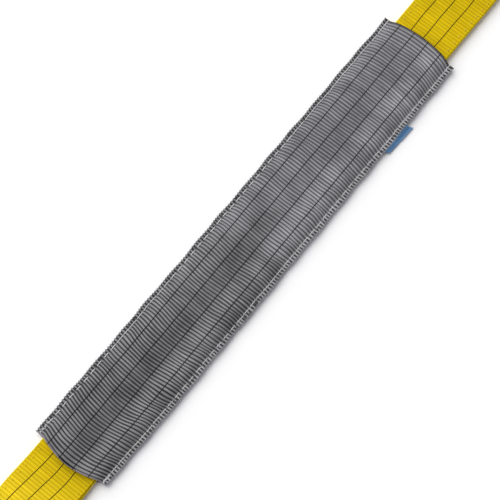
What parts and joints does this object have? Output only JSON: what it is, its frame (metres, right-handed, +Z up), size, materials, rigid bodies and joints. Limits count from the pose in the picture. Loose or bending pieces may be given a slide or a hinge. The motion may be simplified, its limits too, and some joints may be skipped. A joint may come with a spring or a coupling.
{
  "type": "flat web sling",
  "caption": "Flat duplex polyester lifting sling with a folded loop eye at each end, running through a ribbed woven wear sleeve that slides along it.",
  "frame": {"origin": "centre of the wear sleeve's underside, which rests on the ground", "axes": "+X along the sling from eye A to eye B, +Y across it, +Z up from the ground"},
  "size_m": [2.0188, 0.1296, 0.0548],
  "materials": {
    "sling_webbing": "woven polyester",
    "sleeve_webbing": "ribbed woven polyester",
    "marker_thread": "woven thread",
    "sleeve_thread": "sewing thread",
    "sling_thread": "sewing thread",
    "label": "coated cloth"
  },
  "bodies": {
    "sling": {"upper_ply": "sling_webbing", "lower_ply": "sling_webbing", "upper_ply_markers": "marker_thread", "lower_ply_markers": "marker_thread", "edge_seam_left": "sling_thread", "edge_seam_right": "sling_thread", "splice_stitching_a": "sling_thread", "splice_stitching_b": "sling_thread", "sling_label_tab": "label", "sling_label_stitching": "sleeve_thread"},
    "sling_label_flap": {"sling_label": "label"},
    "eye_a": {"eye_a_loop": "sling_webbing", "eye_a_wear_pad": "sling_webbing", "eye_a_fold_stitching": "sling_thread"},
    "eye_b": {"eye_b_loop": "sling_webbing", "eye_b_wear_pad": "sling_webbing", "eye_b_fold_stitching": "sling_thread"},
    "sleeve": {"sleeve_top_panel": "sleeve_webbing", "sleeve_bottom_panel": "sleeve_webbing", "sleeve_top_markers": "marker_thread", "sleeve_bottom_markers": "marker_thread", "sleeve_seam_left": "sleeve_thread", "sleeve_seam_right": "sleeve_thread", "sleeve_tack_a_left": "sleeve_thread", "sleeve_tack_a_right": "sleeve_thread", "sleeve_tack_b_left": "sleeve_thread", "sleeve_tack_b_right": "sleeve_thread"},
    "sleeve_label_flap": {"sleeve_label": "label"}
  },
  "joints": [
    {"name": "sleeve_slide", "type": "slide", "parent": "sling", "child": "sleeve", "axis": [1, 0, 0], "range_m": [-0.24, 0.24]},
    {"name": "eye_a_fold", "type": "hinge", "parent": "sling", "child": "eye_a", "pos_m": [-0.65, 0, 0.0063], "axis": [0, 1, 0], "range_deg": [-90, 90]},
    {"name": "eye_b_fold", "type": "hinge", "parent": "sling", "child": "eye_b", "pos_m": [0.65, 0, 0.0063], "axis": [0, -1, 0], "range_deg": [-90, 90]},
    {"name": "sling_label_lift", "type": "hinge", "parent": "sling", "child": "sling_label_flap", "pos_m": [-0.532, 0, 0.0107], "axis": [0, 1, 0], "range_deg": [0, 120]},
    {"name": "sleeve_label_fold", "type": "hinge", "parent": "sleeve", "child": "sleeve_label_flap", "pos_m": [0.242, -0.0606, 0.0063], "axis": [-1, 0, 0], "range_deg": [-85, 85]}
  ]
}
